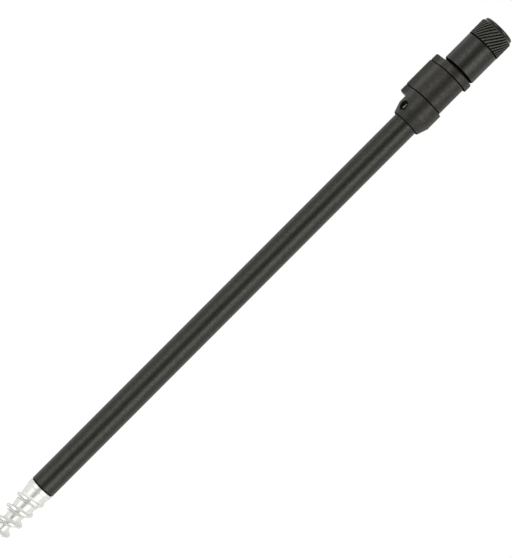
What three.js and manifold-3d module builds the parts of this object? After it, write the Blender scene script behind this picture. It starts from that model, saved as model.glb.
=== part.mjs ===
// Telescopic bank stick: screw-in auger point, outer tube, flip-lever clamp collar, sliding and turning inner pole,
// and a quick-release head with a spiral-knurled lock ring round a removable threaded adaptor.
// Millimetres, +Z up along the stick. z = 0 is the lower end of the outer tube, the line where the stick meets the ground.
import * as THREE from 'three';
import { mergeVertices } from 'three/addons/utils/BufferGeometryUtils.js';
import Module from 'manifold-3d';

const wasm = await Module();
wasm.setup();

// ---------------------------------------------------------------- driving dimensions
const TUBE_R = 8.0;            // outer tube, 16 mm outside
const TUBE_BORE = 7.0;         // 1 mm wall
const TUBE_TOP = 341.4;
const POLE_R = 6.35;           // inner pole, 12.7 mm outside
const POLE_BORE = 5.15;
const POLE_BOTTOM = 28.4;
const POLE_TOP = 356.0;

const SHOULDER_R = 7.88;       // auger point
const SHANK_R = 6.9;
const SHANK_TOP = 15.0;
const PITCH = 8.95;
const CREST_AT_LEFT = -11.91;  // height of a crest at 225 degrees round from +X
const TIP_Z = -58.0;

const COLLAR_Z = 300.3;        // lower edge of the collar nose
const NOSE_R = 8.95;
const NOSE_EDGE_R = 9.68;
const NOSE_EDGE_Z = 1.1;
const BODY_R = 11.55;
const CONE_TOP = 6.8;          // heights in the collar are from COLLAR_Z
const LOBE_BOTTOM = 11.95;
const LOWER_FACE = 17.2;
const UPPER_FACE = 37.7;
const COLLAR_TOP = 42.7;
const TOMMY_Z = 6.3;           // holes for a turning bar
const TOMMY_R = 3.12;
const TOMMY_ANGLES = [-93, 87];
const TOMMY_FLOOR = 7.55;      // they run a little way into the tube's wall
const GRUB_ANGLE = 135;        // both grub screws sit behind, out of sight in the photograph

const PIVOT_D = 13.43;         // pivot pin axis from the stick axis
const PIVOT_ANGLE = 205;       // degrees round from +X
const LOBE_R = 3.33;
const HUB_R = 3.6;
const LUG_FACE = 65;           // direction of the lug's flat sides, from the line through the pivot
const LUG_JOIN = 37;           // where the hollow blend beside the lug meets the round body
const LEVER_R = 11.7;          // outer face of the lever, round the stick axis
const LEVER_END_R = 9.35;      // and its tighter curve towards the free end
const LEVER_END_FROM = 124.8;  // which starts here, from the line through the pivot
const LEVER_CLEAR = 8.25;      // inner face of the lever round the tube
const CAM_R = 3.75;
const CAM_OFF = 0.35;
const SHOE_HALF = 2.4;
const SHOE_LOW = 22.0;
const SHOE_HIGH = 33.0;
const PIN_R = 1.5;

const HEAD_Z = 344.0;          // lower face of the head; heights in the head are from here
const HEAD_R = 10.94;
const SHOULDER_Z = 20.2;
const NECK_R = 9.2;
const NECK_TOP = 32.25;
const SOCKET_R = 7.1;
const SOCKET_FLOOR = 14.0;
const RING_R = 11.15;
const RING_BORE = 9.3;
const RING_LOW = 20.65;
const RING_HIGH = 32.2;
const BALL_R = 1.5;
const BALL_Z = 25.5;
const BALL_OUT = 8.6;          // ball centre from the axis, released
const BALL_IN = 7.8;           // and locked
const RING_TURN = 60;          // degrees from released to locked
const SPIGOT_R = 7.0;
const CAP_R = 9.98;
const CAP_LOW = 32.35;
const CAP_HIGH = 34.1;
const THREAD_R = 4.45;         // 3/8 in fine thread, mean radius
const THREAD_FLOOR = 20.5;

// ---------------------------------------------------------------- helpers
const rad = (degrees) => (degrees * Math.PI) / 180;

function toSolid(geometry) {
	const plain = geometry.index ? geometry.toNonIndexed() : geometry.clone();
	plain.deleteAttribute('normal');
	plain.deleteAttribute('uv');
	const merged = mergeVertices(plain, 1e-4);
	const p = merged.attributes.position.array;
	const all = merged.index.array;
	const tris = [];
	let volume = 0;
	for (let i = 0; i < all.length; i += 3) {
		const [a, b, c] = [all[i], all[i + 1], all[i + 2]];
		if (a === b || b === c || c === a) continue;
		tris.push(a, b, c);
		const A = new THREE.Vector3().fromArray(p, a * 3);
		const B = new THREE.Vector3().fromArray(p, b * 3);
		const C = new THREE.Vector3().fromArray(p, c * 3);
		volume += A.dot(B.cross(C));
	}
	if (volume < 0) for (let i = 0; i < tris.length; i += 3) [tris[i], tris[i + 1]] = [tris[i + 1], tris[i]];
	return new wasm.Manifold(new wasm.Mesh({ numProp: 3, vertProperties: new Float32Array(p), triVerts: new Uint32Array(tris) }));
}

function toGeometry(solid) {
	const mesh = solid.getMesh();
	const geometry = new THREE.BufferGeometry();
	const count = mesh.vertProperties.length / mesh.numProp;
	const position = new Float32Array(count * 3);
	for (let i = 0; i < count; i++) for (let k = 0; k < 3; k++) position[i * 3 + k] = mesh.vertProperties[i * mesh.numProp + k];
	geometry.setAttribute('position', new THREE.BufferAttribute(position, 3));
	geometry.setIndex(Array.from(mesh.triVerts));
	geometry.computeVertexNormals();
	return geometry;
}

// a body of revolution round Z from [radius, height] pairs that start and end on the axis, or close on themselves
function turned(profile, segments = 48) {
	const points = profile.map(([r, z]) => new THREE.Vector2(r, z));
	if (profile[0][0] > 0) points.push(points[0].clone());
	return toSolid(new THREE.LatheGeometry(points, segments).rotateX(Math.PI / 2));
}

const rod = (r, low, high, segments = 32) => turned([[0, low], [r, low], [r, high], [0, high]], segments);
const sleeve = (inner, outer, low, high, segments = 48) => turned([[inner, low], [outer, low], [outer, high], [inner, high]], segments);

function prism(points, low, high) {
	const shape = new THREE.Shape(points.map(([x, y]) => new THREE.Vector2(x, y)));
	return toSolid(new THREE.ExtrudeGeometry(shape, { depth: high - low, bevelEnabled: false }).translate(0, 0, low));
}

function block(x0, x1, y0, y1, z0, z1) {
	return toSolid(new THREE.BoxGeometry(x1 - x0, y1 - y0, z1 - z0).translate((x0 + x1) / 2, (y0 + y1) / 2, (z0 + z1) / 2));
}

// a round bar along a horizontal direction, from one distance out to another
function radialRod(r, angle, from, to, z, segments = 24) {
	const geometry = new THREE.CylinderGeometry(r, r, to - from, segments).rotateZ(-Math.PI / 2).translate((from + to) / 2, 0, 0);
	return toSolid(geometry.rotateZ(rad(angle)).translate(0, 0, z));
}

const arc = (cx, cy, r, from, to, steps) =>
	Array.from({ length: steps + 1 }, (_, i) => {
		const a = rad(from + ((to - from) * i) / steps);
		return [cx + r * Math.cos(a), cy + r * Math.sin(a)];
	});

// the side of a lug of radius r at distance d along X, blended into a round body of radius R: a flat side tangent to the
// lug, then a hollow curve that runs out on the body
function lugSide(R, r, d, steps = 5) {
	const across = rad(LUG_FACE - LUG_JOIN);
	const blend = (R * Math.cos(across) - (d * Math.cos(rad(LUG_FACE)) + r)) / (1 - Math.cos(across));
	const cx = (R + blend) * Math.cos(rad(LUG_JOIN));
	const cy = (R + blend) * Math.sin(rad(LUG_JOIN));
	return arc(cx, cy, blend, LUG_FACE + 180, LUG_JOIN + 180, steps);
}

// outline of a round body with a lug at distance d along X
function lugged(R, r, d, steps = 34) {
	const side = lugSide(R, r, d);
	return [
		...arc(d, 0, r, -LUG_FACE, LUG_FACE, 10), ...side.slice(0, -1), ...arc(0, 0, R, LUG_JOIN, 360 - LUG_JOIN, steps),
		...side.slice(0, -1).reverse().map(([x, y]) => [x, -y]),
	];
}

const anodised = () => new THREE.MeshStandardMaterial({ color: 0x2b2b29, roughness: 0.42, metalness: 0.55 });
const bare = () => new THREE.MeshStandardMaterial({ color: 0xd9d9d6, roughness: 0.28, metalness: 1 });
const steel = () => new THREE.MeshStandardMaterial({ color: 0x9b9c9e, roughness: 0.3, metalness: 1 });
const darkSteel = () => new THREE.MeshStandardMaterial({ color: 0x1d1d1e, roughness: 0.5, metalness: 0.6 });
const nylon = () => new THREE.MeshStandardMaterial({ color: 0x171717, roughness: 0.6, metalness: 0 });
const acetal = () => new THREE.MeshStandardMaterial({ color: 0xe4e1d8, roughness: 0.5, metalness: 0 });
const rubber = () => new THREE.MeshStandardMaterial({ color: 0x121212, roughness: 0.8, metalness: 0 });

const stick = new THREE.Group();
const point = new THREE.Group();
const collar = new THREE.Group();
const clamp = new THREE.Group();
const pole = new THREE.Group();
const head = new THREE.Group();
collar.position.z = COLLAR_Z;
clamp.rotation.z = rad(PIVOT_ANGLE);
head.position.z = HEAD_Z;
collar.add(clamp);
pole.add(head);
stick.add(point, collar, pole);

function put(group, name, solid, material, position = [0, 0, 0]) {
	const mesh = new THREE.Mesh(toGeometry(solid), material);
	mesh.name = name;
	mesh.position.set(...position);
	group.add(mesh);
	return mesh;
}

// ---------------------------------------------------------------- auger point
const CORE = [[-4, 7.5], [-10.6, 6.5], [-17.3, 5.7], [-21.4, 5.05], [-25.8, 4.1], [-29.8, 3.75], [-36.4, 3.1], [-45, 2.2], [-52, 1.35], [-58, 0.25]];
const CREST = [[-3, 7.95], [-25, 8.05], [-34.2, 6.75], [-45, 4.5], [-52, 2.5], [-57, 0.7], [-58, 0.25]];
function along(table, z) {
	if (z >= table[0][0]) return table[0][1];
	for (let i = 1; i < table.length; i++) {
		if (z >= table[i][0]) {
			const f = (table[i - 1][0] - z) / (table[i - 1][0] - table[i][0]);
			return table[i - 1][1] + f * (table[i][1] - table[i - 1][1]);
		}
	}
	return table[table.length - 1][1];
}
function augerRadius(angle, z) {
	if (z > -2.4) return SHOULDER_R;
	const core = along(CORE, z);
	const crest = Math.max(core, along(CREST, z));
	// how far this height is above the nearest crest at this angle
	let w = (z - CREST_AT_LEFT - (PITCH * (angle - 225)) / 360) / PITCH;
	w = (w - Math.round(w)) * PITCH;
	const flank = Math.abs(w) - 1.0;
	const slope = w > 0 ? 2.2 : 1.5;
	return Math.max(core, Math.min(crest, crest - flank * slope));
}
// the thread, its core and the shank as one skin, row by row from the shank's top to the point
function augerSolid() {
	const around = 20;
	const rows = [[SHANK_TOP, SHANK_R - 0.8], [SHANK_TOP - 0.8, SHANK_R], [-0.15, SHANK_R], [-0.15, SHOULDER_R], [-2.4, SHOULDER_R]];
	for (let z = -3.3; z > TIP_Z + 0.7; z -= 1.25) rows.push([z, null]);
	rows.push([TIP_Z, 0.25]);
	const vertices = [0, 0, SHANK_TOP];
	const triangles = [];
	for (const [z, fixed] of rows) {
		for (let i = 0; i < around; i++) {
			const angle = (i * 360) / around;
			const r = fixed ?? augerRadius(angle, z);
			vertices.push(r * Math.cos(rad(angle)), r * Math.sin(rad(angle)), z);
		}
	}
	vertices.push(0, 0, TIP_Z - 0.1);
	const last = vertices.length / 3 - 1;
	for (let i = 0; i < around; i++) {
		const j = (i + 1) % around;
		triangles.push(0, 1 + i, 1 + j);
		for (let k = 0; k < rows.length - 1; k++) {
			const a = 1 + k * around;
			const b = a + around;
			triangles.push(a + i, b + i, b + j, a + i, b + j, a + j);
		}
		const a = 1 + (rows.length - 1) * around;
		triangles.push(a + i, last, a + j);
	}
	const geometry = new THREE.BufferGeometry();
	geometry.setAttribute('position', new THREE.BufferAttribute(new Float32Array(vertices), 3));
	geometry.setIndex(triangles);
	return toSolid(geometry);
}
put(point, 'auger_point', augerSolid(), bare());

// ---------------------------------------------------------------- outer tube, with the window for the brake shoe
const windowCut = block(0, 12, -SHOE_HALF - 0.2, SHOE_HALF + 0.2, COLLAR_Z + SHOE_LOW - 0.2, COLLAR_Z + SHOE_HIGH + 0.2).rotate([0, 0, PIVOT_ANGLE]);
const grubInTube = radialRod(1.55, GRUB_ANGLE, 6, 12, COLLAR_Z + 9.0);
let tube = sleeve(TUBE_BORE, TUBE_R, 0, TUBE_TOP).subtract(windowCut).subtract(grubInTube);
for (const a of TOMMY_ANGLES) tube = tube.subtract(radialRod(TOMMY_R, a, TOMMY_FLOOR, 14, COLLAR_Z + TOMMY_Z));
put(point, 'outer_tube', tube, anodised());

// ---------------------------------------------------------------- collar
const nose = turned([
	[TUBE_R + 0.06, 0], [NOSE_R, 0], [NOSE_R + 0.45, 0.45], [NOSE_EDGE_R, NOSE_EDGE_Z], [BODY_R, CONE_TOP], [BODY_R, LOWER_FACE], [TUBE_R + 0.06, LOWER_FACE],
], 40);
const lobe = prism(lugged(BODY_R - 0.02, LOBE_R, PIVOT_D), LOBE_BOTTOM + 1.0, LOWER_FACE)
	.add(prism(lugged(BODY_R - 0.6, LOBE_R - 0.6, PIVOT_D), LOBE_BOTTOM, LOBE_BOTTOM + 1.01))
	.subtract(rod(TUBE_R + 1, 0, 30))
	.rotate([0, 0, PIVOT_ANGLE]);
const px = PIVOT_D * Math.cos(rad(PIVOT_ANGLE));
const py = PIVOT_D * Math.sin(rad(PIVOT_ANGLE));
const collarBody = nose
	.add(lobe)
	.subtract(radialRod(TOMMY_R, TOMMY_ANGLES[0], TOMMY_FLOOR, 14, TOMMY_Z))
	.subtract(radialRod(TOMMY_R, TOMMY_ANGLES[1], TOMMY_FLOOR, 14, TOMMY_Z))
	.subtract(radialRod(2.0, GRUB_ANGLE, 7, 14, 9.0))
	.subtract(rod(PIN_R + 0.08, LOBE_BOTTOM + 1.4, 30, 24).translate([px, py, 0]));
put(collar, 'collar_body', collarBody, anodised());

const flange = prism(lugged(BODY_R, LOBE_R, PIVOT_D), UPPER_FACE, COLLAR_TOP - 1.0)
	.add(prism(lugged(BODY_R - 0.3, LOBE_R - 0.3, PIVOT_D), COLLAR_TOP - 1.01, COLLAR_TOP - 0.35))
	.add(prism(lugged(BODY_R - 1.0, LOBE_R - 1.0, PIVOT_D), COLLAR_TOP - 0.36, COLLAR_TOP))
	.rotate([0, 0, PIVOT_ANGLE])
	.subtract(rod(TUBE_R + 0.06, UPPER_FACE - 1, TUBE_TOP - COLLAR_Z + 0.1, 48))
	.subtract(rod(POLE_R + 0.25, UPPER_FACE - 1, COLLAR_TOP + 1, 48))
	.subtract(rod(PIN_R + 0.08, UPPER_FACE - 1, COLLAR_TOP + 1, 24).translate([px, py, 0]))
	.subtract(rod(2.12, COLLAR_TOP - 1.75, COLLAR_TOP + 1, 24).translate([px, py, 0]));
put(collar, 'upper_flange', flange, anodised());

const hexagon = (across) => arc(0, 0, across / 2 / Math.cos(rad(30)), 0, 300, 5);
const pin = turned([[0, LOBE_BOTTOM + 1.6], [PIN_R - 0.3, LOBE_BOTTOM + 1.6], [PIN_R, LOBE_BOTTOM + 1.9], [PIN_R, COLLAR_TOP - 1.65], [2.0, COLLAR_TOP - 1.65], [2.0, COLLAR_TOP - 0.35], [0, COLLAR_TOP - 0.35]], 24)
	.subtract(prism(hexagon(2.0), COLLAR_TOP - 1.4, COLLAR_TOP));
put(clamp, 'pivot_screw', pin, darkSteel(), [PIVOT_D, 0, 0]);
const washer = sleeve(PIN_R + 0.12, 3.1, 0, 0.35, 20);
put(clamp, 'lever_washer_lower', washer, acetal(), [PIVOT_D, 0, LOWER_FACE + 0.04]);
put(clamp, 'lever_washer_upper', washer, acetal(), [PIVOT_D, 0, UPPER_FACE - 0.04 - 0.35]);

const grub = (length, r = 1.45) => turned([[0, 0], [r - 0.4, 0], [r, 0.4], [r, length], [0, length]], 16)
	.subtract(prism(hexagon(1.5), length - 1.1, length + 1));
const grubMesh = put(collar, 'collar_grub_screw', grub(3.1, 1.85), darkSteel(), [8.1 * Math.cos(rad(GRUB_ANGLE)), 8.1 * Math.sin(rad(GRUB_ANGLE)), 9.0]);
grubMesh.rotation.set(0, Math.PI / 2, 0);
grubMesh.rotation.order = 'ZYX';
grubMesh.rotation.z = rad(GRUB_ANGLE);

// ---------------------------------------------------------------- cam lever
// outline in the clamp's own frame: +X from the stick axis to the pivot, the lever wraps round through +Y
function leverOutline() {
	const sweep = PIVOT_D + LEVER_CLEAR; // the free end clears the tube if it stays outside this circle round the pivot
	const out = [];
	// round the hub from the under side of the pivot, along its flat side and the blend to the outer face
	out.push(...arc(PIVOT_D, 0, HUB_R, -100, LUG_FACE, 14));
	out.push(...lugSide(LEVER_R, HUB_R, PIVOT_D).slice(0, -1));
	// outer face round to the free end
	const inwards = LEVER_R - LEVER_END_R;
	out.push(...arc(0, 0, LEVER_R, LUG_JOIN, LEVER_END_FROM, 18).slice(0, -1));
	out.push(...arc(inwards * Math.cos(rad(LEVER_END_FROM)), inwards * Math.sin(rad(LEVER_END_FROM)), LEVER_END_R, LEVER_END_FROM, 207, 16));
	// free end, rounded between the two faces
	const at = (theta) => {
		const c = Math.cos(rad(theta));
		const r = PIVOT_D * c + Math.sqrt(PIVOT_D * PIVOT_D * c * c - PIVOT_D * PIVOT_D + sweep * sweep);
		return [r * Math.cos(rad(theta)), r * Math.sin(rad(theta))];
	};
	const outerEnd = out[out.length - 1];
	const innerEnd = at(199);
	const mid = [(outerEnd[0] + innerEnd[0]) / 2, (outerEnd[1] + innerEnd[1]) / 2];
	const half = [(outerEnd[0] - innerEnd[0]) / 2, (outerEnd[1] - innerEnd[1]) / 2];
	const len = Math.hypot(...half);
	const forward = [-half[1] / len, half[0] / len];
	const dir = forward[0] * -outerEnd[1] + forward[1] * outerEnd[0] > 0 ? 1 : -1;
	for (let i = 1; i < 6; i++) {
		const a = rad((180 * i) / 6);
		out.push([mid[0] + half[0] * Math.cos(a) + dir * forward[0] * len * 0.9 * Math.sin(a), mid[1] + half[1] * Math.cos(a) + dir * forward[1] * len * 0.9 * Math.sin(a)]);
	}
	for (const theta of [199, 194, 190, 185]) out.push(at(theta));
	// inner face, back to the pocket for the shoe
	const pocket = SHOE_HALF + 0.5;
	const from = (Math.asin(pocket / LEVER_CLEAR) * 180) / Math.PI;
	out.push(...arc(0, 0, LEVER_CLEAR, 180, from, 30));
	const noseX = PIVOT_D - CAM_OFF - CAM_R;
	out.push([noseX, pocket]);
	// cam nose
	out.push(...arc(PIVOT_D - CAM_OFF, 0, CAM_R, 180, 252, 9));
	return out;
}
const lever = prism(leverOutline(), LOWER_FACE + 0.42, UPPER_FACE - 0.42).subtract(rod(PIN_R + 0.12, 0, 60, 24).translate([PIVOT_D, 0, 0]));
put(clamp, 'cam_lever', lever, anodised());

// ---------------------------------------------------------------- brake shoe
const shoe = prism([
	...arc(0, 0, POLE_R + 0.09, -22, 22, 8), [POLE_R + 2.85, SHOE_HALF], [POLE_R + 2.85, -SHOE_HALF],
], SHOE_LOW, SHOE_HIGH);
put(clamp, 'brake_shoe', shoe, acetal());

// ---------------------------------------------------------------- guide bushes in the top of the tube
put(collar, 'guide_bush_lower', sleeve(POLE_R + 0.1, TUBE_BORE - 0.08, 5.0, 15.0, 32), nylon());
put(collar, 'guide_bush_upper', sleeve(POLE_R + 0.1, TUBE_BORE - 0.08, 34.2, 41.0, 32), nylon());

// ---------------------------------------------------------------- inner pole
put(pole, 'inner_pole', sleeve(POLE_BORE, POLE_R, POLE_BOTTOM, POLE_TOP, 40).subtract(radialRod(1.05, GRUB_ANGLE, 3, 9, HEAD_Z + 6)), anodised());
put(pole, 'stop_bush', sleeve(4.15, TUBE_BORE - 0.14, 20.2, 28.2, 32), nylon());
put(pole, 'pole_end_plug', turned([
	[0, 15.3], [5.2, 15.3], [5.8, 15.9], [5.8, 19.9], [4.0, 19.9], [4.0, 28.45], [POLE_BORE - 0.06, 28.45], [POLE_BORE - 0.06, 42], [0, 42],
], 24), nylon());

// ---------------------------------------------------------------- head
const headBody = turned([
	[0, 12.2], [POLE_R + 0.06, 12.2], [POLE_R + 0.06, 0], [HEAD_R - 0.5, 0], [HEAD_R, 0.5], [HEAD_R, SHOULDER_Z - 0.3], [HEAD_R - 0.3, SHOULDER_Z], [NECK_R, SHOULDER_Z],
	[NECK_R, 30.4], [NECK_R - 0.5, 30.4], [NECK_R - 0.5, 31.3], [NECK_R, 31.3], [NECK_R, NECK_TOP], [SOCKET_R, NECK_TOP], [SOCKET_R, SOCKET_FLOOR], [0, SOCKET_FLOOR],
], 40);
let bodyCut = headBody.subtract(radialRod(2.0, GRUB_ANGLE, 5.6, 14, 6));
const BALL_ANGLES = [90, 210, 330];
for (const a of BALL_ANGLES) bodyCut = bodyCut.subtract(radialRod(BALL_R + 0.12, a, 6, 10.4, BALL_Z, 16));
put(head, 'head_body', bodyCut, anodised());
const headGrub = put(head, 'head_grub_screw', grub(3.2, 1.85), darkSteel(), [6.6 * Math.cos(rad(GRUB_ANGLE)), 6.6 * Math.sin(rad(GRUB_ANGLE)), 6]);
headGrub.rotation.order = 'ZYX';
headGrub.rotation.set(0, Math.PI / 2, rad(GRUB_ANGLE));

put(head, 'ring_washer', sleeve(NECK_R + 0.1, 9.95, SHOULDER_Z + 0.04, SHOULDER_Z + 0.36, 32), acetal());

// pockets in the lock ring: a ramp that lets each ball out at one end and pushes it in over the turn
let ring = turned([
	[RING_BORE, RING_LOW], [RING_R - 0.2, RING_LOW], [RING_R, RING_LOW + 0.2], [RING_R, RING_HIGH - 0.85], [RING_R - 0.85, RING_HIGH], [10.1, RING_HIGH], [10.1, 30.2], [RING_BORE, 30.2],
], 48);
for (const a of BALL_ANGLES) {
	const ramp = [];
	for (let turn = 0; turn <= RING_TURN + 0.01; turn += 10) {
		// at ring angle `turn` the ball sees the point of the ramp that lies `turn` behind it
		const r = BALL_OUT + BALL_R + 0.14 - ((BALL_OUT - BALL_IN) * turn) / RING_TURN;
		ramp.push([r, a - turn]);
	}
	const outer = [[BALL_OUT + BALL_R + 0.14, a + 9], ...ramp, [BALL_IN + BALL_R + 0.14, a - RING_TURN - 9]];
	const polar = outer.map(([r, t]) => [r * Math.cos(rad(t)), r * Math.sin(rad(t))]);
	const inner = [];
	for (let t = a - RING_TURN - 9; t <= a + 9.01; t += 13) inner.push([(RING_BORE - 0.6) * Math.cos(rad(t)), (RING_BORE - 0.6) * Math.sin(rad(t))]);
	ring = ring.subtract(prism([...polar, ...inner], BALL_Z - BALL_R - 0.15, BALL_Z + BALL_R + 0.15));
}
put(head, 'lock_ring', ring, anodised());

BALL_ANGLES.forEach((a, i) => {
	const ball = toSolid(new THREE.SphereGeometry(BALL_R, 12, 8).rotateX(Math.PI / 2));
	put(head, `lock_ball_${i + 1}`, ball, steel(), [BALL_OUT * Math.cos(rad(a)), BALL_OUT * Math.sin(rad(a)), BALL_Z]);
});

const clip = sleeve(NECK_R - 0.42, 9.95, 30.45, 31.2, 32).subtract(block(-2.2, 2.2, -12, 0, 29, 33));
put(head, 'ring_circlip', clip, steel());

// ---------------------------------------------------------------- threaded adaptor
const adaptor = turned([
	[0, SOCKET_FLOOR + 0.25], [SPIGOT_R - 0.6, SOCKET_FLOOR + 0.25], [SPIGOT_R, SOCKET_FLOOR + 0.85], [SPIGOT_R, 16.6], [5.75, 16.6], [5.75, 18.3], [SPIGOT_R, 18.3],
	[SPIGOT_R, BALL_Z - 1.9], [6.15, BALL_Z - 1.2], [6.15, BALL_Z + 1.2], [SPIGOT_R, BALL_Z + 1.9], [SPIGOT_R, CAP_LOW],
	[CAP_R, CAP_LOW], [CAP_R, CAP_HIGH - 0.8], [CAP_R - 0.24, CAP_HIGH - 0.24], [CAP_R - 0.8, CAP_HIGH],
	[THREAD_R + 0.5, CAP_HIGH], [THREAD_R, CAP_HIGH - 0.5], [THREAD_R, THREAD_FLOOR], [0, THREAD_FLOOR - 1.2],
], 36);
put(head, 'socket_adaptor', adaptor, anodised());
const oring = toSolid(new THREE.TorusGeometry(6.42, 0.6, 6, 24));
put(head, 'adaptor_o_ring', oring, rubber(), [0, 0, 17.45]);

export default stick;
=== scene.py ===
# Looks of the telescopic bank stick around its fixed frame. Blender units are metres; shapes are written in millimetres.
import bpy
import bmesh
import math
import numpy as np
from mathutils import Matrix, Vector


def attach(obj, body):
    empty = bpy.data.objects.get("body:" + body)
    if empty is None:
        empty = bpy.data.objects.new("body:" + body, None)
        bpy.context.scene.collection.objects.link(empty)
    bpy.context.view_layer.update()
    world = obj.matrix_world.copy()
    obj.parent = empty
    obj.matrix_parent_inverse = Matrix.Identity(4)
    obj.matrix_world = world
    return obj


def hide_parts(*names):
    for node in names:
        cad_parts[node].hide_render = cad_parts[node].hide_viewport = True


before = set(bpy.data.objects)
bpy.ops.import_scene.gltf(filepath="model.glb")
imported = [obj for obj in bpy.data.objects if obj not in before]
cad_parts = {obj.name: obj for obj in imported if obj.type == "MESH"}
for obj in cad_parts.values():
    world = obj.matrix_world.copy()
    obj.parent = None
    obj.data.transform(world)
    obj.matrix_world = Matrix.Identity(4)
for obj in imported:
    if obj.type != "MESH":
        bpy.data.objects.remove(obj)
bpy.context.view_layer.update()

# ------------------------------------------------------------------ sizes shared with the frame, in mm
COLLAR_Z = 300.3
HEAD_Z = 344.0
PIVOT_ANGLE = 205.0
PIVOT_D = 13.43
BODY_R = 11.55
LOBE_R = 3.33
LUG_FACE, LUG_JOIN = 65.0, 37.0
PITCH = 8.95
CREST_AT_LEFT = -12.1
TIP_Z = -58.0
LOBE_BOTTOM = 11.95
COLLAR_TOP = 42.7
GRUB_ANGLE = 135.0
BAR_ANGLES = (-93.0, 87.0)
BAR_Z, BAR_R, BAR_FLOOR = 6.3, 3.12, 7.55
LEDGE_LOW, LEDGE_HIGH = -0.9, 2.1

g = math.radians(GRUB_ANGLE)
pivot = (PIVOT_D * math.cos(math.radians(PIVOT_ANGLE)), PIVOT_D * math.sin(math.radians(PIVOT_ANGLE)))

# ------------------------------------------------------------------ mesh tools


def make(name, verts, faces):
    """A mesh object from vertices in mm, with its faces turned outwards."""
    v = np.asarray(verts, float)
    vol = 0.0
    for f in faces:
        a = v[f[0]]
        for i in range(1, len(f) - 1):
            vol += float(np.dot(a, np.cross(v[f[i]], v[f[i + 1]])))
    if vol < 0:
        faces = [tuple(reversed(f)) for f in faces]
    me = bpy.data.meshes.new(name)
    me.from_pydata([tuple(p) for p in v], [], [tuple(int(i) for i in f) for f in faces])
    me.update()
    ob = bpy.data.objects.new(name, me)
    bpy.context.scene.collection.objects.link(ob)
    return ob


def clean(ob, dist=1e-4):
    bm = bmesh.new()
    bm.from_mesh(ob.data)
    bmesh.ops.remove_doubles(bm, verts=bm.verts, dist=dist)
    bmesh.ops.dissolve_degenerate(bm, edges=bm.edges, dist=dist)
    rim = [e for e in bm.edges if len(e.link_faces) == 1]
    if rim:
        bmesh.ops.holes_fill(bm, edges=rim, sides=6)
    bmesh.ops.recalc_face_normals(bm, faces=bm.faces)
    bm.to_mesh(ob.data)
    bm.free()
    return ob


def skin(name, rings, loop=False):
    """Rows of points, all with the same count, joined into one closed skin. loop joins the last row to the first; else each end closes on its middle."""
    n = len(rings[0])
    verts = [tuple(p) for r in rings for p in r]
    faces = []
    m = len(rings)
    for k in range(m if loop else m - 1):
        a, b = k * n, ((k + 1) % m) * n
        for i in range(n):
            j = (i + 1) % n
            faces.append((a + i, b + i, b + j, a + j))
    if not loop:
        for k, flip in ((0, False), (m - 1, True)):
            c = len(verts)
            verts.append(tuple(np.mean(np.asarray(rings[k], float), axis=0)))
            a = k * n
            for i in range(n):
                j = (i + 1) % n
                faces.append((c, a + i, a + j) if not flip else (c, a + j, a + i))
    return clean(make(name, verts, faces))


def fillet(points, closed=True, step=12.0):
    """Corners of a profile rounded: points are (x, y) or (x, y, radius)."""
    pts = [(p[0], p[1], p[2] if len(p) > 2 else 0.0) for p in points]
    out = []
    n = len(pts)
    for i, (x, y, r) in enumerate(pts):
        if r <= 0 or (not closed and i in (0, n - 1)):
            out.append((x, y))
            continue
        p = np.array([x, y])
        a = np.array(pts[i - 1][:2]) - p
        b = np.array(pts[(i + 1) % n][:2]) - p
        la, lb = np.linalg.norm(a), np.linalg.norm(b)
        a, b = a / la, b / lb
        ang = math.acos(max(-1, min(1, float(a @ b))))
        t = min(r / math.tan(ang / 2), la * 0.49, lb * 0.49)
        r = t * math.tan(ang / 2)
        mid = (a + b) / np.linalg.norm(a + b)
        c = p + mid * (r / math.sin(ang / 2))
        s, e = p + a * t - c, p + b * t - c
        sweep = math.pi - ang
        cross = s[0] * e[1] - s[1] * e[0]
        k = max(2, int(math.ceil(math.degrees(sweep) / step)))
        for q in range(k + 1):
            w = sweep * q / k * (1 if cross > 0 else -1)
            out.append((c[0] + s[0] * math.cos(w) - s[1] * math.sin(w), c[1] + s[0] * math.sin(w) + s[1] * math.cos(w)))
    return out


def lathe(name, profile, n=160, closed=True, step=12.0, centre=(0, 0)):
    """Profile of (r, z[, corner radius]) turned round Z. closed: a tube-like loop; else it starts and ends on the axis."""
    pts = fillet(profile, closed, step)
    th = np.arange(n) * 2 * math.pi / n
    rings = [np.stack([centre[0] + r * np.cos(th), centre[1] + r * np.sin(th), np.full(n, z)], 1) for r, z in pts]
    return skin(name, rings, loop=closed)


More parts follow.
